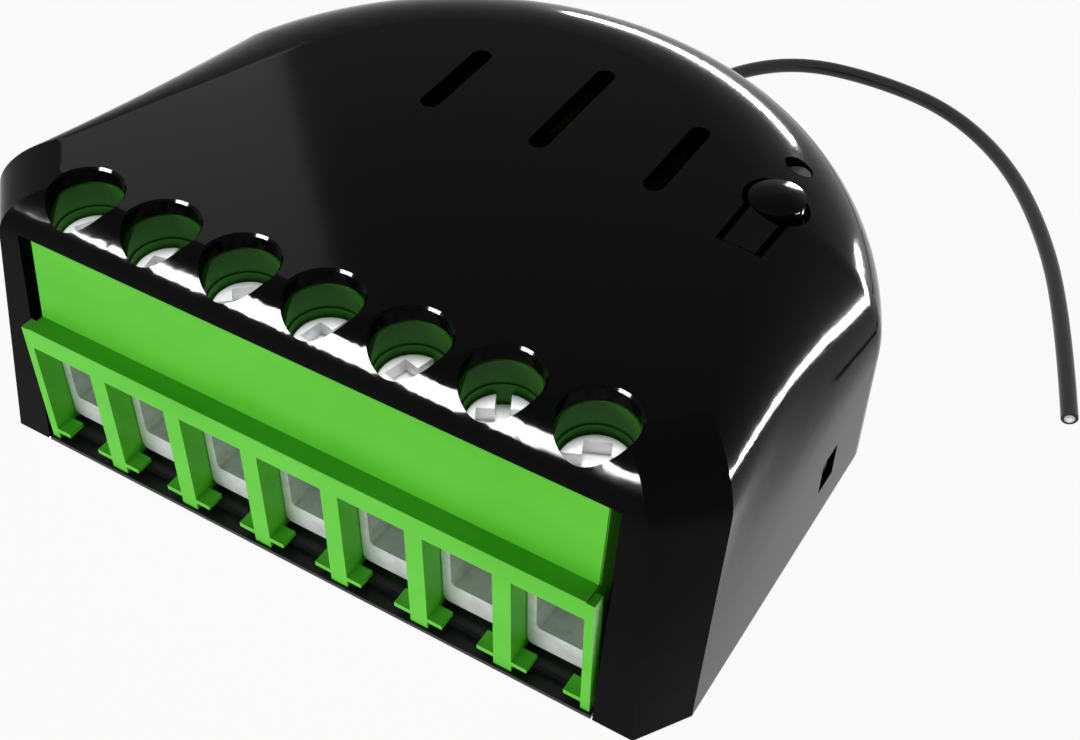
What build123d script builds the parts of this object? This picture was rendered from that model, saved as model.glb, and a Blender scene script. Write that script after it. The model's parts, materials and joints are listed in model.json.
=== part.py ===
from build123d import *
import os
from math import atan2, cos, degrees, pi, radians, sin, sqrt, tan

# A smart relay module for a wall box: a black moulded housing with a row of
# seven rising-clamp screw terminals, a programming button, a status light and
# a short wire antenna. Millimetres. X runs along the terminal row, Y from the
# terminals to the rear, Z up. The origin is the middle of the underside.

# Driving sizes of the terminal row and the housing
pole_count = 7
pole_pitch = 5.0
side_margin = 4.3
body_depth = 38.6
body_height = 16.0
side_length = 23.3
wall = 1.2
top_wall = 0.9
overrun = 1.0

# How the housing's walls lean and round over
front_lean = 0.123
corner_lean = 0.067
corner_face_width = 1.8
corner_face_depth = 2.75
corner_edge_radius = 1.0
rear_corner_radius = 3.0
rear_rounding = 8.5
side_rounding = 8.2
corner_rounding = 2.8
front_rounding = 2.5

# Slices through the rounded crown, by how far round each lies
lead_in_shares = [0.24, 0.12]
slice_angles_deg = [0, 12, 24, 36, 46, 56, 65, 73, 80, 86, 90]

# Clearances
fit_gap = 0.05
slide_gap = 0.05
cover_gap = 0.1
part_gap = 0.6

# Bottom cover
cover_thickness = 0.75
cover_lip = 0.25
window_low = 2.6
window_height = 2.25
window_width = 1.8
window_back = 18.7
hook_arm_thickness = 0.9
hook_recess = 0.35
hook_head_room = 0.4
post_radius = 1.1
post_pin_radius = 0.5

# Terminal block
frame_thickness = 0.75
frame_setback = 0.15
frame_height = 8.7
frame_foot = 0.3
opening_width = 3.96
opening_top = 7.43
block_side_step = 0.4
mouth_gap = 0.25
block_ledge = 1.2
block_slope_gap = 0.3
lip_thickness = 0.3
left_lip = 0.88
right_lip = 0.98
lip_depth = 1.7
lip_space = 2.1
block_depth = 7.95
block_rear_wall = 1.1
housing_bar_bottom = 13.8
chamber_top = 10.7
screw_seat = 11.6

# Terminal screws and clamp cages
screw_setback = 4.25
shell_hole_radius = 2.02
rim_rounding = 0.12
well_radius = 1.95
head_well_radius = 1.86
well_step_height = 13.6
head_radius = 1.75
head_height = 1.5
head_edge = 0.12
shank_radius = 1.25
shank_hole_radius = 1.4
drive_slot_width = 0.75
drive_slot_depth = 0.8
drive_cross_width = 1.35
drive_cross_length = 2.5
screw_turns_deg = [62, 100, 40, 78, 76, 118, 24]
cage_setback = 1.5
cage_depth = 4.6
cage_foot = 0.1
cage_bottom_bar = 1.5
cage_top_bar = 2.0
cage_leg = 0.52
cage_edge_radius = 0.35
window_corner_radius = 0.3
clamp_travel = 2.0

# Contact bars
contact_bottom = 5.9
contact_thickness = 0.6
contact_width = 2.4
contact_pin_width = 1.0

# Boards and what they carry
board_height = 2.6
board_thickness = 1.2
board_edge_gap = 0.35
leg_zone = 1.9
relay_length = 14.6
relay_depth = 7.0
relay_height = 9.6
relay_gap = 0.9
relay_edge_radius = 0.4
varistor_radius = 3.9
varistor_thickness = 3.4
capacitor_radius = 3.6
capacitor_length = 10.5
capacitor_groove = 0.3
film_length = 12.0
film_depth = 4.8
film_height = 8.2
core_length = 8.0
core_depth = 7.0
core_height = 7.4
core_leg = 1.6
winding_gap = 0.1
fuse_radius = 1.7
fuse_height = 7.0
bridge_length = 3.2
bridge_depth = 4.4
bridge_height = 2.2
supply_chip_length = 3.9
supply_chip_depth = 3.6
supply_chip_height = 1.5

varistor_side = 1.2
run_share = 0.45
post_side = 3.8
post_front = 1.3
post_back = 7.6

# Control board, button and light
control_board_thickness = 0.8
control_board_width = 9.6
control_board_length = 14.4
switch_body_size = 3.4
switch_body_height = 1.9
plunger_radius = 0.8
plunger_height = 0.9
plunger_travel_gap = 0.08
button_right = 6.7
button_back = 22.5
button_hole_radius = 1.8
cap_radius = 1.5
cap_dome = 0.25
cap_stem = 1.0
tongue_length = 4.5
tongue_width = 1.78
tongue_slot = 0.38
led_right = 7.2
led_back = 26.5
led_hole_radius = 0.78
light_pipe_radius = 0.7
light_pipe_recess = 1.35
light_pipe_flange = 0.35
light_pipe_flange_thickness = 0.5
led_length = 1.6
led_width = 0.8
led_height = 0.6
chip_size = 4.6
chip_height = 0.9
crystal_length = 2.5
crystal_width = 2.0
crystal_height = 0.7
header_width = 2.0
header_length = 9.0
header_pin_width = 0.5
header_pins = 4

# Vent slots in the top
vent_width = 1.15
vent_front = 19.6
vent_short = 6.25
vent_long = 8.2
vent_spacing = 6.9
vent_middle = 2.35

# Antenna wire
wire_radius = 0.5
wire_hole_gap = 0.1
wire_exit_left = 2.6
wire_exit_height = 4.6
lead_inside = 4.2
lead_drop = 0.7

# Worked-out sizes
row_half = pole_count * pole_pitch / 2
half_width = row_half + side_margin
front = -body_depth / 2
rear = body_depth / 2
inner_top = body_height - top_wall
rear_bulge = body_depth - side_length
rear_radius = (half_width**2 + rear_bulge**2) / (2 * rear_bulge)
rear_centre = rear - rear_radius
pole_x = [(k - (pole_count - 1) / 2) * pole_pitch for k in range(pole_count)]
frame_front = front + frame_setback
frame_back = frame_front + frame_thickness
block_back = frame_front + block_depth
block_floor = cover_thickness + fit_gap
chamber_floor = block_floor + lip_thickness
chamber_back = block_back - block_rear_wall
screw_y = front + screw_setback
head_bottom = screw_seat + fit_gap
cage_front = frame_front + cage_setback - fit_gap
cage_bottom = chamber_floor + cage_foot
contact_top = contact_bottom + contact_thickness
cage_window_top = contact_top + cage_foot
cage_half = opening_width / 2 - slide_gap
board_top = board_height + board_thickness
board_front = block_back + part_gap / 2
relay_front = board_front + leg_zone
row_front = relay_front + relay_depth + part_gap
seat = board_top + fit_gap
button_x = half_width - button_right
button_y = front + button_back
led_x = half_width - led_right
led_y = front + led_back
hinge_y = button_y - tongue_length
stem_bottom = inner_top - cap_stem
plunger_top = stem_bottom - plunger_travel_gap
switch_top = plunger_top - plunger_height
control_top = switch_top - switch_body_height - fit_gap
control_bottom = control_top - control_board_thickness
control_seat = control_top + fit_gap
control_left = button_x + switch_body_size / 2 + part_gap - control_board_width
control_front = hinge_y - part_gap
post_x = half_width - post_side
front_posts = [(side * post_x, board_front + post_front) for side in (-1, 1)]
rear_posts = [(side * half_width / 2, rear - post_back) for side in (-1, 1)]
post_places = front_posts + rear_posts
varistor_x = -half_width + wall + part_gap + varistor_side + varistor_thickness / 2
capacitor_x = varistor_x + varistor_thickness / 2 + part_gap + capacitor_length / 2
core_x = capacitor_x + capacitor_length / 2 + part_gap + core_length / 2
film_front = row_front + 2 * capacitor_radius + part_gap
film_x = capacitor_x + capacitor_length / 2
fuse_x = film_x + film_length / 2 + part_gap + fuse_radius
fuse_y = film_front + supply_chip_depth + part_gap + fuse_radius
wire_exit_x = -wire_exit_left
wire_exit_y = rear_centre + sqrt(rear_radius**2 - wire_exit_left**2)

# Route of the free antenna wire, from the housing to its cut end
wire_route = [
    (wire_exit_x, wire_exit_y, wire_exit_height),
    (wire_exit_x, 23.9, wire_exit_height),
    (-1.5, 28.5, 0.5),
    (0.6, 33.0, 0.5),
    (4.6, 37.2, 0.5),
    (10.4, 38.5, 0.5),
    (16.2, 36.2, 0.5),
    (21.7, 31.1, 0.5),
    (25.9, 24.6, 0.5),
    (29.1, 18.0, 0.5),
    (31.5, 11.2, 0.5),
]


def block_from(x0, x1, y0, y1, z0, z1):
    """A straight-sided block between two corners."""
    size = Box(x1 - x0, y1 - y0, z1 - z0)
    return Pos((x0 + x1) / 2, (y0 + y1) / 2, (z0 + z1) / 2) * size


def post_from(x, y, z0, z1, radius):
    """An upright round bar between two heights."""
    return Pos(x, y, (z0 + z1) / 2) * Cylinder(radius, z1 - z0)


def drawn_in(height, top, radius):
    """How far a top rounding has drawn its wall in at a height."""
    rise = height - (top - radius)
    if rise <= 0:
        return 0
    return radius - sqrt(max(radius**2 - rise**2, 0))


def plan_at(height, inset, top):
    """The housing's outline at one height, drawn in all round by an inset."""
    rear_in = inset + drawn_in(height, top, rear_rounding - inset)
    side_in = inset + drawn_in(height, top, side_rounding - inset)
    corner_in = inset + drawn_in(height, top, corner_rounding - inset)
    front_in = inset + drawn_in(height, top, front_rounding - inset)
    lean = front_lean * height
    front_y = front + lean + front_in
    corner_x = half_width - corner_face_width - corner_lean * height - corner_in
    corner_y = front + corner_face_depth + lean + front_in
    side_x = half_width - corner_in
    rear_x = half_width - side_in
    arc_radius = rear_radius - rear_in
    rear_y = rear_centre + sqrt(arc_radius**2 - rear_x**2)
    points = [
        (-rear_x, rear_y),
        (-side_x, corner_y),
        (-corner_x, front_y),
        (corner_x, front_y),
        (side_x, corner_y),
        (rear_x, rear_y),
    ]
    with BuildSketch(Plane.XY.offset(height)) as plan:
        with BuildLine():
            Polyline(*points)
            ThreePointArc(points[-1], (0, rear_centre + arc_radius), points[0])
        make_face()
        corners = plan.vertices()
        at_rear = corners.filter_by(lambda v: v.Y > (corner_y + rear_y) / 2)
        at_front = corners.filter_by(lambda v: v.Y < (corner_y + rear_y) / 2)
        fillet(at_rear, rear_corner_radius)
        fillet(at_front, corner_edge_radius)
    return plan.sketch


def pebble(inset, top, bottom):
    """The rounded body of the housing, or its hollow, between two heights."""
    radius = rear_rounding - inset
    start = top - radius
    lead_in = [start - radius * share for share in lead_in_shares]
    slices = [start + radius * sin(radians(angle)) for angle in slice_angles_deg]
    crown = loft([plan_at(height, inset, top) for height in lead_in + slices])
    skirt = loft([plan_at(height, inset, top) for height in (bottom, lead_in[0])], ruled=True)
    return crown + skirt


def button_opening():
    """The round button hole with the two slots that free its tongue."""
    outer_half = tongue_width / 2 + tongue_slot
    hole = post_from(button_x, button_y, 0, body_height + overrun, button_hole_radius)
    slots = block_from(
        button_x - outer_half,
        button_x + outer_half,
        hinge_y,
        button_y,
        inner_top - overrun,
        body_height + overrun,
    )
    return hole + slots


def make_reset_button(shell):
    """A round press cap on a springy tongue cut out of the housing's top."""
    tongue_plan = block_from(
        button_x - tongue_width / 2,
        button_x + tongue_width / 2,
        hinge_y + fit_gap,
        button_y,
        inner_top - overrun,
        body_height + overrun,
    )
    tongue = shell & tongue_plan
    surface = tongue.bounding_box().max.Z
    cap = post_from(button_x, button_y, stem_bottom, surface, cap_radius)
    dome_radius = (cap_radius**2 + cap_dome**2) / (2 * cap_dome)
    ball = Pos(button_x, button_y, surface + cap_dome - dome_radius) * Sphere(dome_radius)
    crown = post_from(button_x, button_y, surface, surface + cap_dome, cap_radius)
    return tongue + cap + (ball & crown)


def side_windows():
    """The two openings in the side walls that the cover's hooks snap into."""
    y = front + window_back - window_width
    return block_from(
        -half_width - overrun,
        half_width + overrun,
        y,
        y + window_width,
        window_low,
        window_low + window_height,
    )


def vent_slots():
    """Three long round-ended slots through the top."""
    slots = []
    for step, length in ((-1, vent_short), (0, vent_long), (1, vent_short)):
        x = vent_middle + step * vent_spacing
        y = front + vent_front + length / 2
        outline = Rot(0, 0, 90) * SlotOverall(length, vent_width)
        slots.append(extrude(Pos(x, y, inner_top - overrun) * outline, top_wall + 2 * overrun))
    return slots


def make_housing_blank():
    """The moulded shell before anything is cut through it."""
    return pebble(0, body_height, 0) - pebble(wall, inner_top, -overrun)


def make_top_housing(blank):
    """The black shell with its terminal mouth, screw holes, slots and windows."""
    mouth_half = row_half + mouth_gap
    mouth = block_from(
        -mouth_half,
        mouth_half,
        front - overrun,
        front + front_lean * housing_bar_bottom + wall + corner_face_depth,
        -overrun,
        housing_bar_bottom,
    )
    shell = blank - mouth
    for x in pole_x:
        shell -= post_from(x, screw_y, housing_bar_bottom - overrun, body_height + overrun,
                           shell_hole_radius)
        shell -= Pos(x, screw_y, body_height) * Cone(
            shell_hole_radius, shell_hole_radius + 2 * rim_rounding, 2 * rim_rounding)
    for slot in vent_slots():
        shell -= slot
    shell -= button_opening()
    shell -= post_from(led_x, led_y, inner_top - overrun - rear_rounding / 2,
                       body_height + overrun, led_hole_radius)
    shell -= side_windows()
    wire_hole = Rot(90, 0, 0) * Cylinder(wire_radius + wire_hole_gap, 2 * (wall + overrun))
    shell -= Pos(wire_exit_x, wire_exit_y, wire_exit_height) * wire_hole
    return shell


def make_bottom_cover():
    """The plate that closes the underside, with its lip, hooks and board posts."""
    inset = wall + cover_gap
    outline = plan_at(0, inset, body_height)
    plate = extrude(outline, cover_thickness)
    mouth_half = row_half + mouth_gap - cover_gap
    plate += block_from(-mouth_half, mouth_half, frame_back + fit_gap, front + inset + lip_depth,
                        0, cover_thickness)
    plate += block_from(-mouth_half, mouth_half, front, frame_back + lip_depth, 0, cover_lip)
    window_front = front + window_back - window_width
    hook_front = window_front + cover_gap
    hook_back = window_front + window_width - cover_gap
    arm_outer = half_width - wall - cover_gap
    arm_inner = arm_outer - hook_arm_thickness
    hook_low = window_low + cover_gap
    hook_high = window_low + window_height - cover_gap
    for side in (-1, 1):
        arm = block_from(arm_inner, arm_outer, hook_front, hook_back, 0,
                         hook_high + hook_head_room)
        nub_profile = Polyline(
            (arm_outer, hook_low),
            (half_width - hook_recess, hook_low),
            (half_width - hook_recess, (hook_low + hook_high) / 2),
            (arm_outer, hook_high),
            (arm_outer, hook_low),
        )
        nub = extrude(Plane.XZ * make_face(nub_profile), -(hook_back - hook_front))
        hook = arm + Pos(0, hook_front, 0) * nub
        plate += hook if side > 0 else mirror(hook, Plane.YZ)
    for x, y in post_places:
        plate += post_from(x, y, 0, board_height - fit_gap, post_radius)
        plate += post_from(x, y, 0, board_top, post_pin_radius)
    return plate


def make_terminal_block():
    """The green block: front frame, slanted face, wire chambers and screw wells."""
    slope_low = frame_height
    y_low = front + front_lean * slope_low + block_slope_gap
    y_high = front + front_lean * (housing_bar_bottom - fit_gap) + block_slope_gap
    bar_low_y = front + front_lean * housing_bar_bottom + wall + fit_gap
    bar_top_y = front + front_lean * inner_top + front_rounding + fit_gap
    profile = Polyline(
        (block_back, block_floor),
        (block_back, inner_top - fit_gap),
        (bar_top_y, inner_top - fit_gap),
        (bar_low_y, housing_bar_bottom - fit_gap),
        (y_high, housing_bar_bottom - fit_gap),
        (y_low, slope_low),
        (frame_back, slope_low),
        (frame_back, block_floor),
        (block_back, block_floor),
    )
    body_half = row_half - block_side_step
    body = Pos(-body_half, 0, 0) * extrude(Plane.YZ * make_face(profile), 2 * body_half)
    body += block_from(-row_half, row_half, frame_front, frame_back, frame_foot, frame_height)
    for x in pole_x:
        body -= pole_hollow(x)
        body += pole_lips(x)
    return body


def pole_hollow(x):
    """Everything cut out of the block for one pole."""
    half = opening_width / 2
    hollow = block_from(x - half, x + half, frame_front - overrun, frame_back + overrun,
                        0, opening_top)
    hollow += block_from(x - half, x + half, frame_back, chamber_back, chamber_floor, chamber_top)
    hollow += block_from(x + half - right_lip - lip_space, x + half - right_lip, frame_back,
                         frame_front + lip_depth, 0, chamber_floor + overrun)
    hollow += post_from(x, screw_y, chamber_top - overrun, screw_seat + overrun, shank_hole_radius)
    hollow += post_from(x, screw_y, screw_seat, body_height, head_well_radius)
    hollow += post_from(x, screw_y, well_step_height, body_height, well_radius)
    half_contact = contact_width / 2 + fit_gap
    hollow += block_from(x - half_contact, x + half_contact, chamber_back - overrun,
                         block_back + overrun, contact_bottom - fit_gap, contact_top + fit_gap)
    return hollow


def pole_lips(x):
    """The two thin floor lips that narrow one wire opening at its foot."""
    half = opening_width / 2
    lips = block_from(x - half, x - half + left_lip, frame_front, frame_back + lip_thickness,
                      block_floor, chamber_floor)
    lips += block_from(x + half - right_lip, x + half, frame_front, frame_back + lip_thickness,
                       block_floor, chamber_floor)
    return lips


def make_clamp_cage(x):
    """A rising clamp: a folded metal cage with a threaded top bar."""
    cage_top = cage_window_top + cage_top_bar
    cage = block_from(x - cage_half, x + cage_half, cage_front, cage_front + cage_depth,
                      cage_bottom, cage_top)
    window = block_from(
        x - cage_half + cage_leg,
        x + cage_half - cage_leg,
        cage_front - overrun,
        cage_front + cage_depth + overrun,
        cage_bottom + cage_bottom_bar,
        cage_window_top,
    )
    window = fillet(window.edges().filter_by(Axis.Y), window_corner_radius)
    cage = fillet(cage.edges().filter_by(Axis.Y), cage_edge_radius)
    thread = post_from(x, screw_y, cage_window_top - overrun, cage_top + overrun,
                       shank_radius + slide_gap)
    return cage - window - thread


def make_terminal_screw(x, turn):
    """A clamp screw with a slot and a wide cross recess in its head."""
    head_top = head_bottom + head_height
    head = post_from(x, screw_y, head_bottom, head_top, head_radius)
    head = fillet(head.edges().group_by(Axis.Z)[-1], head_edge)
    shank = post_from(x, screw_y, contact_top + cage_foot, head_bottom + head_edge, shank_radius)
    recess = Box(2 * head_radius + overrun, drive_slot_width, 2 * drive_slot_depth)
    recess += Box(drive_cross_width, drive_cross_length, 2 * drive_slot_depth)
    return head + shank - Pos(x, screw_y, head_top) * Rot(0, 0, turn) * recess


def make_contact_bar(x):
    """A flat bar through the cage's window, bent down into the board."""
    bar = block_from(x - contact_width / 2, x + contact_width / 2, cage_front + fit_gap,
                     board_front + leg_zone / 2, contact_bottom, contact_top)
    leg_back = board_front + leg_zone / 2
    leg = block_from(x - contact_pin_width / 2, x + contact_pin_width / 2,
                     leg_back - contact_thickness, leg_back,
                     board_height - contact_thickness, contact_top)
    return bar + leg


def make_main_board():
    """The board behind the block, cut to the housing's inside, with its holes."""
    outline = plan_at(board_height, wall + board_edge_gap, body_height)
    board = extrude(outline, board_thickness)
    keep = block_from(-half_width, half_width, board_front, rear, 0, body_height)
    board = board & keep
    window_front = front + window_back - window_width
    arm_inner = half_width - wall - cover_gap - hook_arm_thickness
    for side in (-1, 1):
        notch = block_from(arm_inner - board_edge_gap, half_width, window_front - board_edge_gap,
                           window_front + window_width + board_edge_gap, 0, body_height)
        board -= notch if side > 0 else mirror(notch, Plane.YZ)
    leg_back = board_front + leg_zone / 2
    for x in pole_x:
        half = contact_pin_width / 2 + fit_gap
        board -= block_from(x - half, x + half, leg_back - contact_thickness - fit_gap,
                            leg_back + fit_gap, 0, body_height)
    for x, y in post_places:
        board -= post_from(x, y, 0, body_height, post_pin_radius + fit_gap)
    return board


def make_relay(side):
    """A small power relay: a plastic box with rounded upright edges."""
    near = side * relay_gap / 2
    far = side * (relay_gap / 2 + relay_length)
    box = block_from(min(near, far), max(near, far), relay_front, relay_front + relay_depth,
                     seat, seat + relay_height)
    return fillet(box.edges().filter_by(Axis.Z), relay_edge_radius)


def make_varistor():
    """A surge protector: a coated disc standing on edge."""
    disc = Rot(0, 90, 0) * Cylinder(varistor_radius, varistor_thickness)
    disc = fillet(disc.edges(), varistor_thickness / 4)
    return Pos(varistor_x, row_front + varistor_radius, seat + varistor_radius) * disc


def make_capacitor():
    """A supply capacitor: a can lying down, with its crimped groove."""
    half = capacitor_length / 2
    groove_at = half - 2 * capacitor_groove
    outline = Polyline(
        (0, -half),
        (capacitor_radius, -half),
        (capacitor_radius, groove_at - 2 * capacitor_groove),
        (capacitor_radius - capacitor_groove, groove_at - capacitor_groove),
        (capacitor_radius, groove_at),
        (capacitor_radius, half),
        (0, half),
        (0, -half),
    )
    can = revolve(Plane.XZ * make_face(outline), Axis.Z)
    return Pos(capacitor_x, row_front + capacitor_radius, seat + capacitor_radius) * Rot(0, 90, 0) * can


def make_film_capacitor():
    """A filter capacitor: a plain potted box."""
    box = block_from(film_x - film_length / 2, film_x + film_length / 2, film_front,
                     film_front + film_depth, seat, seat + film_height)
    return fillet(box.edges().filter_by(Axis.Z), relay_edge_radius)


def make_transformer_core():
    """The supply transformer's ferrite frame, open for its winding."""
    x0 = core_x - core_length / 2
    y0 = row_front
    core = block_from(x0, x0 + core_length, y0, y0 + core_depth, seat, seat + core_height)
    hollow = block_from(x0 - overrun, x0 + core_length + overrun, y0 + core_leg,
                        y0 + core_depth - core_leg, seat + core_leg, seat + core_height - core_leg)
    return core - hollow


def make_transformer_winding():
    """The wound coil that fills the transformer's window."""
    y0 = row_front + core_leg + winding_gap
    y1 = row_front + core_depth - core_leg - winding_gap
    z0 = seat + core_leg + winding_gap
    z1 = seat + core_height - core_leg - winding_gap
    coil = block_from(core_x - core_length / 2, core_x + core_length / 2, y0, y1, z0, z1)
    return fillet(coil.edges().filter_by(Axis.X), relay_edge_radius)


def make_control_board():
    """The small upper board that holds the button switch, light and radio."""
    x0 = control_left
    board = block_from(x0, x0 + control_board_width, control_front,
                       control_front + control_board_length, control_bottom, control_top)
    outline = plan_at(control_top, wall + board_edge_gap, inner_top)
    return board & extrude(outline, -2 * control_board_thickness)


def make_header():
    """The pin header that joins the two boards."""
    x0 = control_left + fit_gap
    y0 = control_front + part_gap
    strip = block_from(x0, x0 + header_width, y0, y0 + header_length, seat,
                       control_bottom - fit_gap)
    return fillet(strip.edges().filter_by(Axis.Z), header_width / 8)


def make_switch_body():
    """The button switch's square case with the round hole of its plunger."""
    half = switch_body_size / 2
    body = block_from(button_x - half, button_x + half, button_y - half, button_y + half,
                      control_seat, switch_top)
    body = fillet(body.edges().filter_by(Axis.Z), relay_edge_radius)
    return body - post_from(button_x, button_y, switch_top - plunger_height / 2,
                            switch_top + overrun, plunger_radius + slide_gap)


def make_switch_plunger():
    """The switch's round plunger, which the cap's stem presses."""
    low = switch_top - plunger_height / 2 + plunger_height / 2 * 0.75
    return post_from(button_x, button_y, low, plunger_top, plunger_radius)


def make_status_led():
    """The status light's chip on the control board."""
    return block_from(led_x - led_length / 2, led_x + led_length / 2, led_y - led_width / 2,
                      led_y + led_width / 2, control_seat, control_seat + led_height)


def make_light_pipe():
    """The clear rod that carries the light to its hole in the top."""
    low = control_seat + led_height + fit_gap
    rod = post_from(led_x, led_y, low, body_height - light_pipe_recess, light_pipe_radius)
    return rod + post_from(led_x, led_y, low, low + light_pipe_flange_thickness,
                           light_pipe_radius + light_pipe_flange)


def make_radio_chip():
    """The radio and control chip."""
    x0 = control_left + part_gap / 2
    y0 = led_y - chip_size / 2
    return block_from(x0, x0 + chip_size, y0, y0 + chip_size, control_seat,
                      control_seat + chip_height)


def make_crystal():
    """The metal-cased crystal beside the chip."""
    x0 = control_left + part_gap / 2
    y0 = led_y - chip_size / 2 - part_gap - crystal_length
    can = block_from(x0, x0 + crystal_width, y0, y0 + crystal_length, control_seat,
                     control_seat + crystal_height)
    return fillet(can.edges().filter_by(Axis.Z), crystal_width / 8)


def make_fuse_resistor():
    """The fusible resistor standing on the main board."""
    rod = post_from(fuse_x, fuse_y, seat, seat + fuse_height, fuse_radius)
    return fillet(rod.edges(), fuse_radius / 4)


def make_bridge():
    """The bridge rectifier beside the relays."""
    x0 = relay_gap / 2 + relay_length + part_gap / 2
    return block_from(x0, x0 + bridge_length, relay_front, relay_front + bridge_depth, seat,
                      seat + bridge_height)


def make_supply_chip():
    """The switching supply's controller."""
    x0 = film_x + film_length / 2 + part_gap
    return block_from(x0, x0 + supply_chip_length, film_front, film_front + supply_chip_depth,
                      seat, seat + supply_chip_height)


def bend_radii(route):
    """Each corner's largest radius that its two runs allow, with some straight left."""
    radii = []
    for before, corner, after in zip(route, route[1:], route[2:]):
        run_in = Vector(corner) - Vector(before)
        run_out = Vector(after) - Vector(corner)
        half_turn = radians(run_in.get_angle(run_out)) / 2
        radii.append(run_share * min(run_in.length, run_out.length) / tan(half_turn))
    return radii


def wire_along(route):
    """A round wire swept along straight runs and tangent arcs."""
    radii = bend_radii(route)
    path = FilletPolyline(*route, radius=radii)
    start = Plane(origin=route[0], z_dir=path % 0)
    wire = sweep(start * Circle(wire_radius), path=path)
    print("wire radii", [round(r, 1) for r in radii], "length", round(path.length, 2))
    print("wire volume", round(wire.volume, 3), "of", round(pi * wire_radius**2 * path.length, 3))
    return wire


def make_antenna_lead():
    """The antenna's last stretch inside, from the wall down to its solder pad."""
    x, y, z = wire_route[0]
    return wire_along([
        (x, y, z),
        (x, y - lead_inside / 2, z),
        (x, y - lead_inside, seat + wire_radius),
    ])


def every_part():
    """All the parts by name."""
    blank = make_housing_blank()
    parts = {
        "top_housing": make_top_housing(blank),
        "bottom_cover": make_bottom_cover(),
        "terminal_block_body": make_terminal_block(),
        "reset_button": make_reset_button(blank),
        "main_circuit_board": make_main_board(),
        "control_board": make_control_board(),
        "board_header": make_header(),
        "relay_left": make_relay(-1),
        "relay_right": make_relay(1),
        "surge_varistor": make_varistor(),
        "supply_capacitor": make_capacitor(),
        "filter_capacitor": make_film_capacitor(),
        "transformer_core": make_transformer_core(),
        "transformer_winding": make_transformer_winding(),
        "fuse_resistor": make_fuse_resistor(),
        "bridge_rectifier": make_bridge(),
        "supply_chip": make_supply_chip(),
        "radio_chip": make_radio_chip(),
        "radio_crystal": make_crystal(),
        "switch_body": make_switch_body(),
        "switch_plunger": make_switch_plunger(),
        "status_led": make_status_led(),
        "light_pipe": make_light_pipe(),
        "antenna_lead_inside": make_antenna_lead(),
        "antenna_wire": wire_along(wire_route),
        "contact_bars": Compound([make_contact_bar(x) for x in pole_x]),
    }
    for number, (x, turn) in enumerate(zip(pole_x, screw_turns_deg), start=1):
        parts[f"terminal_screw_{number}"] = make_terminal_screw(x, turn)
        parts[f"clamp_cage_{number}"] = make_clamp_cage(x)
    return parts


os.makedirs("parts", exist_ok=True)
for name, solid in every_part().items():
    export_step(solid, f"parts/{name}.step")
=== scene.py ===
# %% [markdown]
# # A smart relay module, dressed for its picture
# The module is a black moulded housing with a green row of seven screw
# terminals, a press button, a status light and a short wire antenna. The CAD
# model already has every solid at its real size, so this lesson loads it as a
# fixed frame and adds what a drawing lacks: finishes, the free wire, a thin
# cover over the block's slanted face, light and a camera. Everything is in
# metres, and a size that is easier to read in millimetres is multiplied by MM.

import json
import math

import bpy
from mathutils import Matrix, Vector


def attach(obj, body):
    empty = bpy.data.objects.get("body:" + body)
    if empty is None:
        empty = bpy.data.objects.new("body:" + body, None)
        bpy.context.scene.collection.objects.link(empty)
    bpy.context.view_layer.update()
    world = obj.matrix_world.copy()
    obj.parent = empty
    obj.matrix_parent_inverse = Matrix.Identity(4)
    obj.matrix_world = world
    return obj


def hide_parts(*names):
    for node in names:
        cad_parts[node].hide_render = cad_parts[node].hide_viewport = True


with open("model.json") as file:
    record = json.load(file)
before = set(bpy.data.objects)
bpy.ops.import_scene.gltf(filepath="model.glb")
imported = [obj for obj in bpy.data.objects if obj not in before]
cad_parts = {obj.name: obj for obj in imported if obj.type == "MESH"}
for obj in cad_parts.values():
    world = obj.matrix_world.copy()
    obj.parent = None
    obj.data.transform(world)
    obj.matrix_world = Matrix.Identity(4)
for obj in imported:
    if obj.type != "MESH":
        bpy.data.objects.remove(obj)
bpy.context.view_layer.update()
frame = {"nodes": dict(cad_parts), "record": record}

MM = 0.001
nodes = frame["nodes"]

# %% [markdown]
# ## The camera
# The picture was taken from the front right, well above the module. A camera
# can be placed by eye, but edges then drift by many pixels. Here its place,
# turn and focal length were worked out from corners whose real places are
# known, such as the terminal row's 5 mm steps, so no lens shift is needed.
# The module is so small that the near clipping distance has to come down.

# %% The camera
CAMERA_PLACE = Vector((37.13, -57.41, 66.26)) * MM
CAMERA_TURN_DEG = (45.237, -0.552, 31.2)
CAMERA_LENS_MM = 52.688
CAMERA_SENSOR_MM = 36
CAMERA_NEAR = 5 * MM


def make_camera():
    """The picture's own viewpoint, with a near clipping distance for small things."""
    data = bpy.data.cameras.new("picture_camera")
    data.lens = CAMERA_LENS_MM
    data.sensor_width = CAMERA_SENSOR_MM
    data.clip_start = CAMERA_NEAR
    camera = bpy.data.objects.new("picture_camera", data)
    camera.location = CAMERA_PLACE
    camera.rotation_euler = [math.radians(turn) for turn in CAMERA_TURN_DEG]
    bpy.context.scene.collection.objects.link(camera)
    bpy.context.scene.camera = camera


make_camera()
print("camera distance to the origin, mm:", round(CAMERA_PLACE.length / MM, 1))

# %% [markdown]
# ## The antenna wire
# The antenna is one stiff insulated wire, about 63 mm long and 1 mm thick. It
# leaves the housing low on its rounded rear wall and lies on the table in a
# wide bow. A wire could be a chain of cylinders, but a smooth curve with a
# round bevel bends as real wire does. The curve's control points follow the
# CAD model's own wire, moved by up to 1.5 mm to where the picture shows it.

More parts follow.
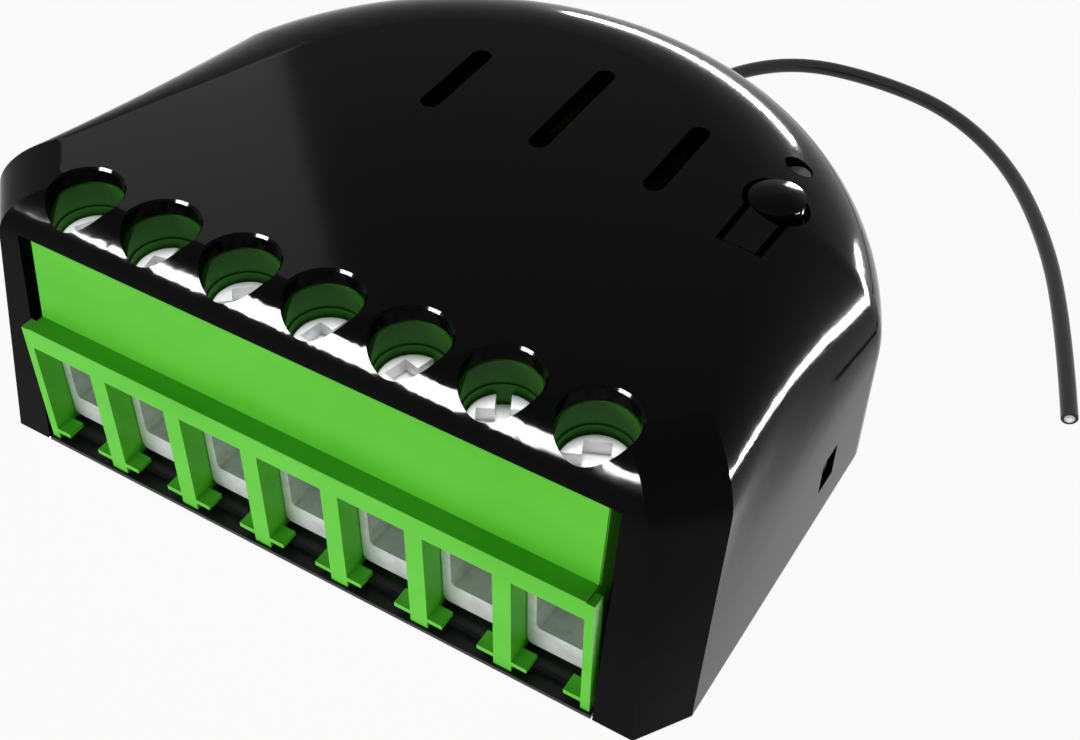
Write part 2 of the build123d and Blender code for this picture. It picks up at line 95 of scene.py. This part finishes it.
# %% The antenna wire
WIRE_RADIUS = 0.5 * MM
WIRE_ROUTE_MM = [
    (-2.6, 19.15, 4.6),
    (-2.6, 23.9, 4.6),
    (-2.2, 28.6, 0.5),
    (-0.6, 33.8, 0.5),
    (3.2, 37.4, 0.5),
    (8.8, 38.2, 0.5),
    (14.6, 37.4, 0.5),
    (20.4, 33.4, 0.5),
    (25.3, 26.6, 0.5),
    (28.9, 18.8, 0.5),
    (31.3, 12.3, 0.5),
]
WIRE_BEVEL_STEPS = 8
WIRE_CURVE_STEPS = 24
SPLINE_ORDER = 3


def make_antenna():
    """A round wire along a smooth spline that starts and ends at its outer points."""
    data = bpy.data.curves.new("antenna_jacket", "CURVE")
    data.dimensions = "3D"
    data.bevel_depth = WIRE_RADIUS
    data.bevel_resolution = WIRE_BEVEL_STEPS
    data.resolution_u = WIRE_CURVE_STEPS
    data.use_fill_caps = True
    spline = data.splines.new("NURBS")
    spline.points.add(len(WIRE_ROUTE_MM) - 1)
    for point, place in zip(spline.points, WIRE_ROUTE_MM):
        point.co = (*(Vector(place) * MM), 1)
    spline.order_u = SPLINE_ORDER
    spline.use_endpoint_u = True
    wire = bpy.data.objects.new("antenna_jacket", data)
    bpy.context.scene.collection.objects.link(wire)
    return wire


antenna = make_antenna()
wire_end = Vector(WIRE_ROUTE_MM[-1]) * MM
wire_end_way = (wire_end - Vector(WIRE_ROUTE_MM[-2]) * MM).normalized()
print("antenna ends at, mm:", [round(value / MM, 1) for value in wire_end])

# %% [markdown]
# ## The wire's cut end
# A cut wire shows its layers: the black jacket's ring, a thin white inner
# insulation and the metal core. A painted disc would look flat from the side.
# The core piece therefore starts as a cylinder that stands a little proud of
# the cut as insulation. Its end face is inset and extruded as the metal, then
# inset again and raised to a blunt tip.

# %% The wire's cut end
INSULATION_RADIUS = 0.3 * MM
CORE_RADIUS = 0.17 * MM
CORE_LENGTH = 1.2 * MM
CORE_PROUD = 0.06 * MM
CORE_SIDES = 32
TIP_INSET = CORE_RADIUS / 3
TIP_RISE = CORE_PROUD / 2
SMOOTH_UNDER_DEG = 35
SAME_WAY_COSINE = 0.99


def deselect_all():
    """Nothing selected, ready for a new primitive or for choosing one object."""
    bpy.ops.object.select_all(action="DESELECT")


def select_faces_towards(mesh_object, way):
    """In edit mode, selects only the faces that look one way."""
    bpy.ops.object.mode_set(mode="OBJECT")
    for polygon in mesh_object.data.polygons:
        polygon.select = polygon.normal.dot(way) > SAME_WAY_COSINE
    bpy.ops.object.mode_set(mode="EDIT")


def settle(mesh_object):
    """Moves an object's place and turn into its mesh, as the CAD nodes have it."""
    deselect_all()
    mesh_object.select_set(True)
    bpy.context.view_layer.objects.active = mesh_object
    bpy.ops.object.transform_apply(location=True, rotation=True, scale=True)


def make_wire_core():
    """The white insulation and the metal core at the wire's cut end."""
    deselect_all()
    bpy.ops.mesh.primitive_cylinder_add(
        vertices=CORE_SIDES, radius=INSULATION_RADIUS, depth=CORE_LENGTH)
    core = bpy.context.object
    core.name = "antenna_core"
    up = Vector((0, 0, 1))
    bpy.ops.object.mode_set(mode="EDIT")
    bpy.ops.mesh.select_mode(type="FACE")
    select_faces_towards(core, up)
    bpy.ops.mesh.inset(thickness=INSULATION_RADIUS - CORE_RADIUS)
    bpy.ops.mesh.extrude_region_move(TRANSFORM_OT_translate={"value": up * CORE_PROUD})
    bpy.ops.mesh.inset(thickness=TIP_INSET)
    bpy.ops.transform.translate(value=up * TIP_RISE)
    bpy.ops.object.mode_set(mode="OBJECT")
    core.rotation_euler = wire_end_way.to_track_quat("Z", "Y").to_euler()
    core.location = wire_end + wire_end_way * (CORE_PROUD - CORE_LENGTH / 2)
    settle(core)
    bpy.ops.object.shade_smooth_by_angle(angle=math.radians(SMOOTH_UNDER_DEG))
    return core


antenna_core = make_wire_core()
print("core faces:", len(antenna_core.data.polygons))

# %% [markdown]
# ## The closed slanted face
# Above the wire openings the real block has a plain slanted face, from the
# ledge up to the housing. In the CAD model the clamp chambers break through
# it, so seven windows show. Seven small plugs would leave seams, so one thin
# skin closes them: a cube is added at the face's own size, leaned back with
# the face, and set a hair in front of it, clear of the cages when they rise.
# A second flat cube at its foot covers the ledge.

# %% The closed slanted face
FACE_LOW = Vector((0, -17.93, 8.71)) * MM
FACE_HIGH = Vector((0, -17.315, 13.7)) * MM
FACE_WIDTH = 34.1 * MM
SKIN_THICKNESS = 0.07 * MM
SKIN_GAP = 0.015 * MM
LEDGE_FRONT = -19.15 * MM


def make_face_skin():
    """A thin plate over the block's slanted face, with a strip over the ledge."""
    deselect_all()
    bpy.ops.mesh.primitive_cube_add(size=1)
    skin = bpy.context.object
    skin.name = "slanted_face_skin"
    up_face = FACE_HIGH - FACE_LOW
    out = Vector((0, -up_face.z, up_face.y)).normalized()
    skin.scale = (FACE_WIDTH, SKIN_THICKNESS, up_face.length)
    skin.rotation_euler = (math.atan2(-up_face.y, up_face.z), 0, 0)
    skin.location = (FACE_LOW + FACE_HIGH) / 2 + out * (SKIN_GAP + SKIN_THICKNESS / 2)
    settle(skin)
    ledge_back = FACE_LOW.y - SKIN_GAP
    ledge_middle = (0, (ledge_back + LEDGE_FRONT) / 2, FACE_LOW.z + SKIN_THICKNESS / 2)
    bpy.ops.object.mode_set(mode="EDIT")
    bpy.ops.mesh.primitive_cube_add(
        size=1, location=ledge_middle,
        scale=(FACE_WIDTH, ledge_back - LEDGE_FRONT, SKIN_THICKNESS))
    bpy.ops.object.mode_set(mode="OBJECT")
    return skin


face_skin = make_face_skin()
print("slanted face's height, mm:", round((FACE_HIGH - FACE_LOW).length / MM, 2))

# %% [markdown]
# ## A small language for finishes
# A finish is a graph of shader nodes. Wiring dozens of nodes by hand hides
# the idea, so three small classes let it be written as plain Python. A
# `Signal` is one socket whose operators add Math nodes. A `Graph` adds every
# other kind of node in one method. A `Finish` is the graph of one material,
# with the few patterns that the finishes below share.

# %% Signals and graphs
class Signal:
    """One value in a graph; Python's operators add Math nodes to it."""

    def __init__(self, graph, socket):
        self.graph = graph
        self.socket = socket

    def maths(self, operation, first, second):
        return self.graph.node("ShaderNodeMath", {"operation": operation}, {0: first, 1: second})

    def __add__(self, other):
        return self.maths("ADD", self, other)

    def __radd__(self, other):
        return self.maths("ADD", other, self)

    def __sub__(self, other):
        return self.maths("SUBTRACT", self, other)

    def __rsub__(self, other):
        return self.maths("SUBTRACT", other, self)

    def __mul__(self, other):
        return self.maths("MULTIPLY", self, other)

    def __rmul__(self, other):
        return self.maths("MULTIPLY", other, self)

    def __pow__(self, other):
        return self.maths("POWER", self, other)

    def or_larger(self, other):
        return self.maths("MAXIMUM", self, other)


class Graph:
    """A tree of shader nodes under construction."""

    def __init__(self, tree):
        self.tree = tree

    def node(self, kind, settings, sockets, output=0):
        """Adds a node: its settings first, then the values or links of its sockets."""
        added = self.tree.nodes.new(kind)
        for setting, value in settings.items():
            setattr(added, setting, value)
        for socket, value in sockets.items():
            self.feed(added.inputs[socket], value)
        return Signal(self, added.outputs[output])

    def feed(self, socket, value):
        """Links a signal to a socket, or sets a plain value on it."""
        if isinstance(value, Signal):
            self.tree.links.new(value.socket, socket)
        else:
            socket.default_value = value

    def any_ray(self, kinds):
        """1 for a ray of one of some kinds, such as one from the camera, and else 0."""
        found = self.node("ShaderNodeLightPath", {}, {}, output=kinds[0])
        for kind in kinds[1:]:
            found = found.or_larger(self.node("ShaderNodeLightPath", {}, {}, output=kind))
        return found


def grey(level):
    """An opaque neutral colour."""
    return (level, level, level, 1)


print("ready:", Signal.__name__, "and", Graph.__name__)

# %% Finishes
class Finish(Graph):
    """A material under construction, with its one Principled shader."""

    def __init__(self, name, constants):
        self.material = bpy.data.materials.new(name)
        self.material.use_nodes = True
        super().__init__(self.material.node_tree)
        self.shader = self.tree.nodes["Principled BSDF"]
        for socket, value in constants.items():
            self.shader.inputs[socket].default_value = value
        self.place = self.node("ShaderNodeTexCoord", {}, {}, output="Object")

    def show(self, socket, value):
        """Feeds one of the shader's own sockets."""
        self.feed(self.shader.inputs[socket], value)

    def axis(self, letter):
        """A point's own X, Y or Z, in metres."""
        return self.node("ShaderNodeSeparateXYZ", {}, {"Vector": self.place}, output=letter)

    def noise(self, size, detail=2, stretch=(1, 1, 1)):
        """Soft cloudy variation, from 0 to 1, whose lumps are about one size in metres."""
        place = self.node("ShaderNodeMapping", {}, {"Vector": self.place, "Scale": stretch})
        return self.node("ShaderNodeTexNoise", {}, {
            "Vector": place, "Scale": 1 / size, "Detail": detail})

    def cells(self, size):
        """Distance to the nearest of many scattered points, as a share of their spacing."""
        return self.node("ShaderNodeTexVoronoi", {}, {"Vector": self.place, "Scale": 1 / size},
                         output="Distance")

    def mask(self, signal, low, high):
        """0 where a signal is under one level and 1 where it is over another."""
        return self.node("ShaderNodeMapRange", {"clamp": True}, {
            "Value": signal, "From Min": low, "From Max": high})

    def blend(self, share, first, second):
        """A colour between two colours, by a share from 0 to 1."""
        return self.node("ShaderNodeMix", {"data_type": "RGBA"}, {
            0: share, 6: first, 7: second}, output=2)

    def ripple(self, height, depth):
        """Bends the surface by a height signal, up to a depth in metres."""
        bent = self.node("ShaderNodeBump", {}, {"Height": height, "Strength": 1, "Distance": depth})
        self.show("Normal", bent)


finishes = {}
print("patterns:", [name for name in vars(Finish) if not name.startswith("_")])

# %% [markdown]
# ## Black moulded plastic
# The housing comes out of a polished mould: deep black, with a reflection
# that is sharp on the rounded edges. One flat colour would look like a
# drawing, so a slow cloud changes its gloss as handling does, small scattered
# specks of dust lift the colour, and a very shallow ripple keeps the long
# highlights from looking ruled. Its specular level is low, because it mirrors
# a white studio and the picture still shows it nearly black. The cover
# underneath is left as the spark eroded it, with a fine grain, and is duller.

# %% Black moulded plastic
HAZE_SIZE = 6 * MM
HANDLED_SIZE = 9 * MM
DUST_SPACING = 1.1 * MM
DUST_SHARE = 0.5
DUST_PALER = 2.2


def black_moulding(name, colour, specular, roughness, spread, grain_size, grain_depth):
    """Black plastic with handled gloss, a little dust and a fine surface grain."""
    finish = Finish(name, {"Specular IOR Level": specular})
    haze = finish.noise(size=HAZE_SIZE, detail=3)
    finish.show("Roughness", roughness + spread * haze)
    dust = 1 - finish.mask(finish.cells(size=DUST_SPACING), low=0.02, high=0.05)
    handled = finish.mask(finish.noise(size=HANDLED_SIZE), low=0.5, high=0.75)
    dusty = grey(DUST_PALER * colour[1])
    finish.show("Base Color", finish.blend(dust * handled * DUST_SHARE, colour, dusty))
    finish.ripple(finish.noise(size=grain_size, detail=4), grain_depth)
    return finish.material


finishes["housing_black"] = black_moulding(
    "polished_black", colour=(0.0024, 0.0024, 0.0026, 1), specular=0.03,
    roughness=0.06, spread=0.05, grain_size=0.5 * MM, grain_depth=0.0001 * MM)
finishes["cover_black"] = black_moulding(
    "grained_black", colour=(0.006, 0.006, 0.0064, 1), specular=0.3,
    roughness=0.36, spread=0.12, grain_size=0.12 * MM, grain_depth=0.004 * MM)
print("black finishes:", len(finishes))

# %% [markdown]
# ## Green terminal plastic
# The terminal block is glass-filled nylon in the usual bright green. It is a
# little cloudy where the melt flowed along the row, so a noise stretched
# along X changes both its depth of colour and its gloss. Little light comes
# back out of the deep screw wells, and the picture shows them much darker
# than the face. More lamps can't do that, so a mask finds the wells, by the
# distance from the nearest screw's axis and by height, and paints that shade
# into the green as a darker colour.

# %% Green terminal plastic
POLE_PITCH = 5 * MM
SCREW_Y = -15.05 * MM
WELL_RADIUS = 1.97 * MM
WELL_EDGE = 0.05 * MM
WELL_FLOOR = 11.7 * MM
WELL_FADE = 0.6 * MM
# Painted shade: inside the screw wells the green is drawn darker, standing in for the shade that
# falls deep in them.
WELL_SHADE_SHARE = 0.8
GREEN_DEEP = (0.105, 0.56, 0.03, 1)
GREEN_PALE = (0.13, 0.62, 0.045, 1)
GREEN_PAINTED_SHADE = (0.012, 0.09, 0.006, 1)


def painted_well_shade(finish):
    """How much painted shade a point takes: the full share inside a screw well, and else 0."""
    across = finish.node("ShaderNodeMath", {"operation": "WRAP"}, {
        0: finish.axis("X"), 1: POLE_PITCH / 2, 2: -POLE_PITCH / 2})
    along = finish.axis("Y") - SCREW_Y
    from_axis = (across * across + along * along) ** 0.5
    inside = 1 - finish.mask(from_axis, WELL_RADIUS, WELL_RADIUS + WELL_EDGE)
    above_floor = finish.mask(finish.axis("Z"), WELL_FLOOR, WELL_FLOOR + WELL_FADE)
    return inside * above_floor * WELL_SHADE_SHARE


def green_moulding():
    """Bright green plastic with flow clouds along the row and a fine grain."""
    finish = Finish("terminal_green_nylon", {"Specular IOR Level": 0.12})
    flow = finish.noise(size=2.5 * MM, detail=3, stretch=(0.35, 1, 1))
    colour = finish.blend(finish.mask(flow, low=0.3, high=0.7), GREEN_DEEP, GREEN_PALE)
    # The base colour takes the painted well shade here, a darker green inside the screw wells.
    finish.show("Base Color", finish.blend(painted_well_shade(finish), colour, GREEN_PAINTED_SHADE))
    finish.show("Roughness", 0.3 + 0.12 * flow)
    finish.ripple(finish.noise(size=0.14 * MM, detail=3), depth=0.002 * MM)
    return finish.material


finishes["terminal_green"] = green_moulding()
print("wells start above, mm:", round(WELL_FLOOR / MM, 1))

# %% [markdown]
# ## Plated screws and cages
# Screws and clamp cages are steel with a nickel plating. Stamping leaves
# fine straight marks and tumbling leaves random nicks, and both show as
# changes of gloss more than of colour. The marks on a cage run along the
# strip that it is folded from. A full metal would mirror the dark green
# wells round it. The picture shows pale grey heads, so the screws and cages
# are metallic only in part, and a lamp of their own lights them below.

# %% Plated screws and cages
METALLIC_SEEN = 0.3
METALLIC_INSIDE = 0.9
ANY_WAY = (1, 1, 1)


def plated_metal(name, colour, roughness, stretch, metallic):
    """Nickel plating over stamped steel, with marks along one way."""
    finish = Finish(name, {"Metallic": metallic})
    marks = finish.noise(size=0.12 * MM, detail=4, stretch=stretch)
    worn = finish.mask(finish.noise(size=0.9 * MM), low=0.45, high=0.7)
    darker = tuple(0.8 * channel for channel in colour[:3]) + (1,)
    finish.show("Base Color", finish.blend(worn, colour, darker))
    finish.show("Roughness", roughness + 0.16 * marks + 0.1 * worn)
    finish.ripple(marks, depth=0.0003 * MM)
    return finish.material


finishes["screw_steel"] = plated_metal(
    "plated_screw", (0.88, 0.88, 0.89, 1), 0.26, ANY_WAY, METALLIC_SEEN)
finishes["cage_steel"] = plated_metal(
    "plated_cage", (0.86, 0.86, 0.88, 1), 0.24, (4, 0.4, 4), METALLIC_SEEN)
finishes["contact_tinned"] = plated_metal(
    "tinned_bar", (0.72, 0.71, 0.68, 1), 0.25, (4, 0.3, 4), METALLIC_INSIDE)
finishes["tinned_metal"] = plated_metal(
    "tinned_case", (0.66, 0.66, 0.67, 1), 0.28, (1, 3, 1), METALLIC_INSIDE)
print("finishes so far:", list(finishes))

# %% [markdown]
# ## The wire's jacket and core
# The antenna's jacket is soft black plastic with faint marks from the
# extruder and a satin sheen along its upper side. Its core piece is white
# insulation with the metal's tip in the middle. They could be two pieces with
# a material each, but one finish is enough: it tells them apart by how far a
# point lies from the middle of the cut.

# %% The wire's jacket and core
CUT_MIDDLE = wire_end + wire_end_way * CORE_PROUD
TIP_METAL = (0.8, 0.78, 0.74, 1)


def wire_jacket():
    """Satin black insulation with very faint marks."""
    finish = Finish("wire_jacket", {"Specular IOR Level": 0.35})
    cloud = finish.noise(size=1.4 * MM, detail=3)
    finish.show("Base Color", finish.blend(cloud, grey(0.006), grey(0.011)))
    finish.show("Roughness", 0.28 + 0.14 * cloud)
    finish.ripple(finish.noise(size=0.2 * MM), depth=0.003 * MM)
    return finish.material


def wire_end_finish():
    """White insulation round a bright metal tip, by distance from the cut's middle."""
    finish = Finish("wire_end", {"Specular IOR Level": 0.5})
    from_middle = finish.node("ShaderNodeVectorMath", {"operation": "DISTANCE"}, {
        0: finish.place, 1: CUT_MIDDLE}, output="Value")
    metal = 1 - finish.mask(from_middle, low=CORE_RADIUS, high=1.15 * CORE_RADIUS)
    specks = finish.noise(size=0.08 * MM)
    white = finish.blend(specks, grey(0.72), grey(0.85))
    finish.show("Base Color", finish.blend(metal, white, TIP_METAL))
    finish.show("Metallic", metal)
    finish.show("Roughness", 0.42 - 0.15 * metal + 0.1 * specks)
    return finish.material


finishes["wire_black"] = wire_jacket()
wire_end_material = wire_end_finish()
print("middle of the cut, mm:", [round(value / MM, 2) for value in CUT_MIDDLE])

# %% [markdown]
# ## The boards and what they carry
# These pieces show only through the slots and in a cut model, so one dark
# colour would do for the picture. Each still has the finish of the real one,
# for whoever opens the model: solder mask that is darker over bare laminate
# and lighter over copper, plain moulded cases, a dipped blue varistor, a
# sleeved capacitor, a sintered core and enamelled wire wound close.

# %% The boards and their cases
MASK_DARK = (0.008, 0.07, 0.024, 1)
MASK_LIGHT = (0.016, 0.14, 0.05, 1)
FINE_GRAIN = (0.1 * MM, 0.004 * MM)


def solder_mask():
    """Green varnish over copper areas, bounded by their straight edges."""
    finish = Finish("solder_mask", {"Specular IOR Level": 0.5})
    areas = finish.node("ShaderNodeTexVoronoi", {"distance": "MANHATTAN"}, {
        "Vector": finish.place, "Scale": 1 / (3.2 * MM)}, output="Color")
    level = finish.node("ShaderNodeSeparateColor", {}, {"Color": areas})
    copper = finish.mask(level, low=0.45, high=0.47)
    finish.show("Base Color", finish.blend(copper, MASK_DARK, MASK_LIGHT))
    weave = finish.noise(size=0.25 * MM, stretch=(1, 1, 0.1))
    finish.show("Roughness", 0.3 + 0.15 * weave)
    finish.ripple(copper + 0.2 * weave, depth=0.02 * MM)
    return finish.material


def moulded_case(name, colour, roughness, grain=FINE_GRAIN):
    """A component's moulded or dipped case, mottled; its grain is a size and a depth."""
    finish = Finish(name, {"Specular IOR Level": 0.45})
    cloud = finish.noise(size=1.6 * MM, detail=3)
    paler = tuple(min(1.3 * channel + 0.004, 1) for channel in colour[:3]) + (1,)
    finish.show("Base Color", finish.blend(cloud, colour, paler))
    finish.show("Roughness", roughness + 0.15 * cloud)
    grain_size, grain_depth = grain
    finish.ripple(finish.noise(size=grain_size, detail=3), grain_depth)
    return finish.material


finishes["board_green"] = solder_mask()
finishes["inner_black"] = moulded_case("chip_black", (0.012, 0.012, 0.013, 1), 0.5)
finishes["relay_case"] = moulded_case("relay_black", (0.016, 0.016, 0.018, 1), 0.34)
finishes["varistor_coat"] = moulded_case(
    "dipped_blue", (0.012, 0.07, 0.34, 1), 0.2, grain=(0.8 * MM, 0.02 * MM))
finishes["capacitor_sleeve"] = moulded_case("sleeve_dark", (0.02, 0.02, 0.03, 1), 0.22)
finishes["film_case"] = moulded_case("potted_yellow", (0.2, 0.13, 0.02, 1), 0.4)
finishes["ferrite"] = moulded_case(
    "sintered_grey", (0.05, 0.05, 0.052, 1), 0.6, grain=(0.2 * MM, 0.02 * MM))
finishes["resistor_body"] = moulded_case("coated_green_grey", (0.16, 0.24, 0.17, 1), 0.4)
finishes["led_white"] = moulded_case("light_chip", (0.82, 0.82, 0.74, 1), 0.25)
print("finishes so far:", len(finishes))

# %% The winding and the light guide
COPPER_DARK = (0.2, 0.06, 0.015, 1)
COPPER_LIGHT = (0.62, 0.24, 0.08, 1)
CLEAR_DULL = (0.75, 0.78, 0.78, 1)
CLEAR_PALE = (0.9, 0.92, 0.92, 1)


def wound_copper():
    """Enamelled wire wound close, as fine bands across the winding's length."""
    finish = Finish("wound_copper", {"Metallic": 0.8})
    turns = finish.node("ShaderNodeTexWave", {"wave_type": "BANDS", "bands_direction": "X"}, {
        "Vector": finish.place, "Scale": 1 / (1.6 * MM), "Distortion": 0.4, "Detail": 1})
    finish.show("Base Color", finish.blend(turns, COPPER_DARK, COPPER_LIGHT))
    finish.show("Roughness", 0.25 + 0.2 * finish.noise(size=0.5 * MM))
    finish.ripple(turns, depth=0.06 * MM)
    return finish.material


def clear_rod():
    """The light guide: milky clear plastic with a slightly frosted end."""
    finish = Finish("clear_light_guide", {"IOR": 1.49, "Transmission Weight": 0.6})
    frost = finish.noise(size=0.3 * MM, detail=3)
    finish.show("Base Color", finish.blend(frost, CLEAR_DULL, CLEAR_PALE))
    finish.show("Roughness", 0.15 + 0.2 * frost)
    return finish.material


finishes["winding_copper"] = wound_copper()
finishes["light_pipe"] = clear_rod()
print("all finishes:", len(finishes))

# %% [markdown]
# ## Dressing the pieces
# The CAD record says which material slot every solid belongs to, so its
# finish is looked up and never chosen by hand. The three new pieces then get
# their finishes and ride on the module's case, and the CAD model's own wire
# is hidden.

# %% Each node gets the finish of its slot
def dress(mesh_object, material):
    """Puts one finish on a whole piece."""
    mesh_object.data.materials.clear()
    mesh_object.data.materials.append(material)


for part in frame["record"]["subparts"]:
    dress(nodes[part["node"]], finishes[part["material_slot"]])

dress(antenna, finishes["wire_black"])
dress(antenna_core, wire_end_material)
dress(face_skin, finishes["terminal_green"])
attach(face_skin, "module_case")
for piece in (antenna, antenna_core):
    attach(piece, "module_case")
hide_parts("antenna_wire")

# %% [markdown]
# ## Floor and background
# The picture has a plain white ground. A white floor lit to white would also
# throw too much light on the module, so what a ray meets depends on its kind.
# Rays from the camera and in reflections meet an even white, and the module
# is otherwise lit by a soft grey sky. The floor shines white on the module as
# well, which fills its front from below, and keeps a small share of ordinary
# pale surface, so that the module's shadow still shows on it. Reflections and
# shadow rays pass through it, because some highlight lamps stand below it.

# %% Floor and background
FLOOR_SIZE = 3.0
FLOOR_PALE = grey(0.8)
SKY_LEVEL = 0.085
SEEN_WHITE = 1.0
SHADOW_SHARE = 0.05
SEEN_RAYS = ("Is Camera Ray", "Is Glossy Ray", "Is Transmission Ray")
FLOOR_WHITE_RAYS = SEEN_RAYS + ("Is Diffuse Ray",)


def floor_finish():
    """White light for the rays that see it, with a little pale surface mixed in."""
    finish = Finish("floor_white", {
        "Base Color": FLOOR_PALE, "Roughness": 1, "Specular IOR Level": 0})
    surface = Signal(finish, finish.shader.outputs[0])
    white = finish.node("ShaderNodeEmission", {}, {"Color": grey(1), "Strength": SEEN_WHITE})
    share = finish.any_ray(FLOOR_WHITE_RAYS) * (1 - SHADOW_SHARE)
    mixed = finish.node("ShaderNodeMixShader", {}, {0: share, 1: surface, 2: white})
    finish.feed(finish.tree.nodes["Material Output"].inputs["Surface"], mixed)
    return finish.material


def make_floor():
    """A wide floor that is seen white and still takes the module's shadow."""
    deselect_all()
    bpy.ops.mesh.primitive_plane_add(size=FLOOR_SIZE)
    floor = bpy.context.object
    floor.name = "studio_floor"
    dress(floor, floor_finish())
    floor.visible_glossy = False
    floor.visible_shadow = False


def make_sky():
    """An even soft sky that is seen as white."""
    world = bpy.data.worlds.new("studio_sky")
    bpy.context.scene.world = world
    world.use_nodes = True
    graph = Graph(world.node_tree)
    background = graph.tree.nodes["Background"]
    graph.feed(background.inputs["Color"], grey(1))
    level = SKY_LEVEL + (SEEN_WHITE - SKY_LEVEL) * graph.any_ray(SEEN_RAYS)
    graph.feed(background.inputs["Strength"], level)


make_floor()
make_sky()
print("floor's width, m:", FLOOR_SIZE)

# %% [markdown]
# ## The lamps that light surfaces
# A long low lamp at the front left gives the green face its brightness, and
# is kept out of reflections. The metal sits deep in its wells, where lamps
# from the side don't reach, and a strong lamp overhead would wash out the
# green round it. Light linking solves that: the overhead lamp lights only the
# screws and cages. A lamp's place is given by two angles, its turn from
# straight in front towards +X and its rise above the floor.

# %% The lamps that light surfaces
LAMP_DISTANCE = 400 * MM
KEY_LAMP = {"turn_deg": -25, "rise_deg": 7, "width": 300 * MM, "height": 90 * MM, "level": 11}
METAL_LAMP = {"turn_deg": -150, "rise_deg": 80, "width": 120 * MM, "height": 120 * MM, "level": 42}
PLATED_SLOTS = ("screw_steel", "cage_steel")


def from_way(turn_deg, rise_deg):
    """A lamp's place, in the direction that two angles give."""
    turn = math.radians(turn_deg)
    rise = math.radians(rise_deg)
    way = Vector((math.sin(turn) * math.cos(rise), -math.cos(turn) * math.cos(rise),
                  math.sin(rise)))
    return way * LAMP_DISTANCE


def softbox(name, turn_deg, rise_deg, width, height, level):
    """A rectangular lamp that faces the module; its level is its own brightness as seen."""
    data = bpy.data.lights.new(name, "AREA")
    data.shape = "RECTANGLE"
    data.size = width
    data.size_y = height
    data.energy = level * math.pi * width * height
    lamp = bpy.data.objects.new(name, data)
    lamp.location = from_way(turn_deg, rise_deg)
    lamp.rotation_euler = (-lamp.location).to_track_quat("-Z", "Y").to_euler()
    lamp.visible_camera = False
    bpy.context.scene.collection.objects.link(lamp)
    return lamp


def group_of(name, members):
    """A collection of pieces, for lamps that reach only them."""
    group = bpy.data.collections.new(name)
    for member in members:
        group.objects.link(member)
    return group


key = softbox("front_key", **KEY_LAMP)
key.visible_glossy = False
overhead = softbox("metal_overhead", **METAL_LAMP)
metal_only = group_of("metal_light", [
    nodes[part["node"]] for part in frame["record"]["subparts"]
    if part["material_slot"] in PLATED_SLOTS])
overhead.light_linking.receiver_collection = metal_only

# %% [markdown]
# ## The lamps that draw highlights
# A polished black housing is drawn by what it mirrors. In the picture thin
# white lines follow its rounded edges, and two soft marks sit on the button's
# cap. Painting them on would fix them to one view. Here each is the mirror
# image of a small, very bright lamp that lights nothing else, aimed by the
# angle at which that edge mirrors towards the camera. Its width and height
# are angles too, as seen from the module.

# %% The lamps that draw highlights
GLINT_LEVEL = 520
SHEEN_LEVEL = 3
# Each lamp's turn, rise, width and height in degrees, and its level.
HOUSING_GLINTS = {
    "front_glint": (-31, 36, 22, 27, GLINT_LEVEL),
    "corner_glint": (28, -34, 34, 20, GLINT_LEVEL),
    "side_corner_glint": (114, -40, 22, 20, GLINT_LEVEL),
    "rear_glint": (-167, 4, 26, 3.5, GLINT_LEVEL),
    "right_edge_glint": (152, -11, 24, 3.5, GLINT_LEVEL),
    "left_top_sheen": (-128, 38, 14, 16, SHEEN_LEVEL),
}
BUTTON_GLINTS = {
    "cap_glint_low": (164, 22, 16, 10, GLINT_LEVEL),
    "cap_glint_high": (-176, 12, 18, 8, GLINT_LEVEL),
}


def glint(name, group, turn_deg, rise_deg, width_deg, height_deg, level):
    """A lamp that one group of pieces mirrors and that lights nothing else."""
    width, height = (2 * LAMP_DISTANCE * math.tan(math.radians(angle / 2))
                     for angle in (width_deg, height_deg))
    lamp = softbox(name, turn_deg, rise_deg, width, height, level)
    lamp.visible_diffuse = False
    lamp.light_linking.receiver_collection = group


housing_only = group_of("housing_glints", [nodes["top_housing"]])
for name, numbers in HOUSING_GLINTS.items():
    glint(name, housing_only, *numbers)
button_only = group_of("button_light", [nodes["reset_button"]])
for name, numbers in BUTTON_GLINTS.items():
    glint(name, button_only, *numbers)
bpy.context.scene.view_settings.view_transform = "Standard"
print("lamps:", len(bpy.data.lights))

# %% [markdown] ## Sizes and the hand-over The finished model has to stay
# the size of the CAD model.
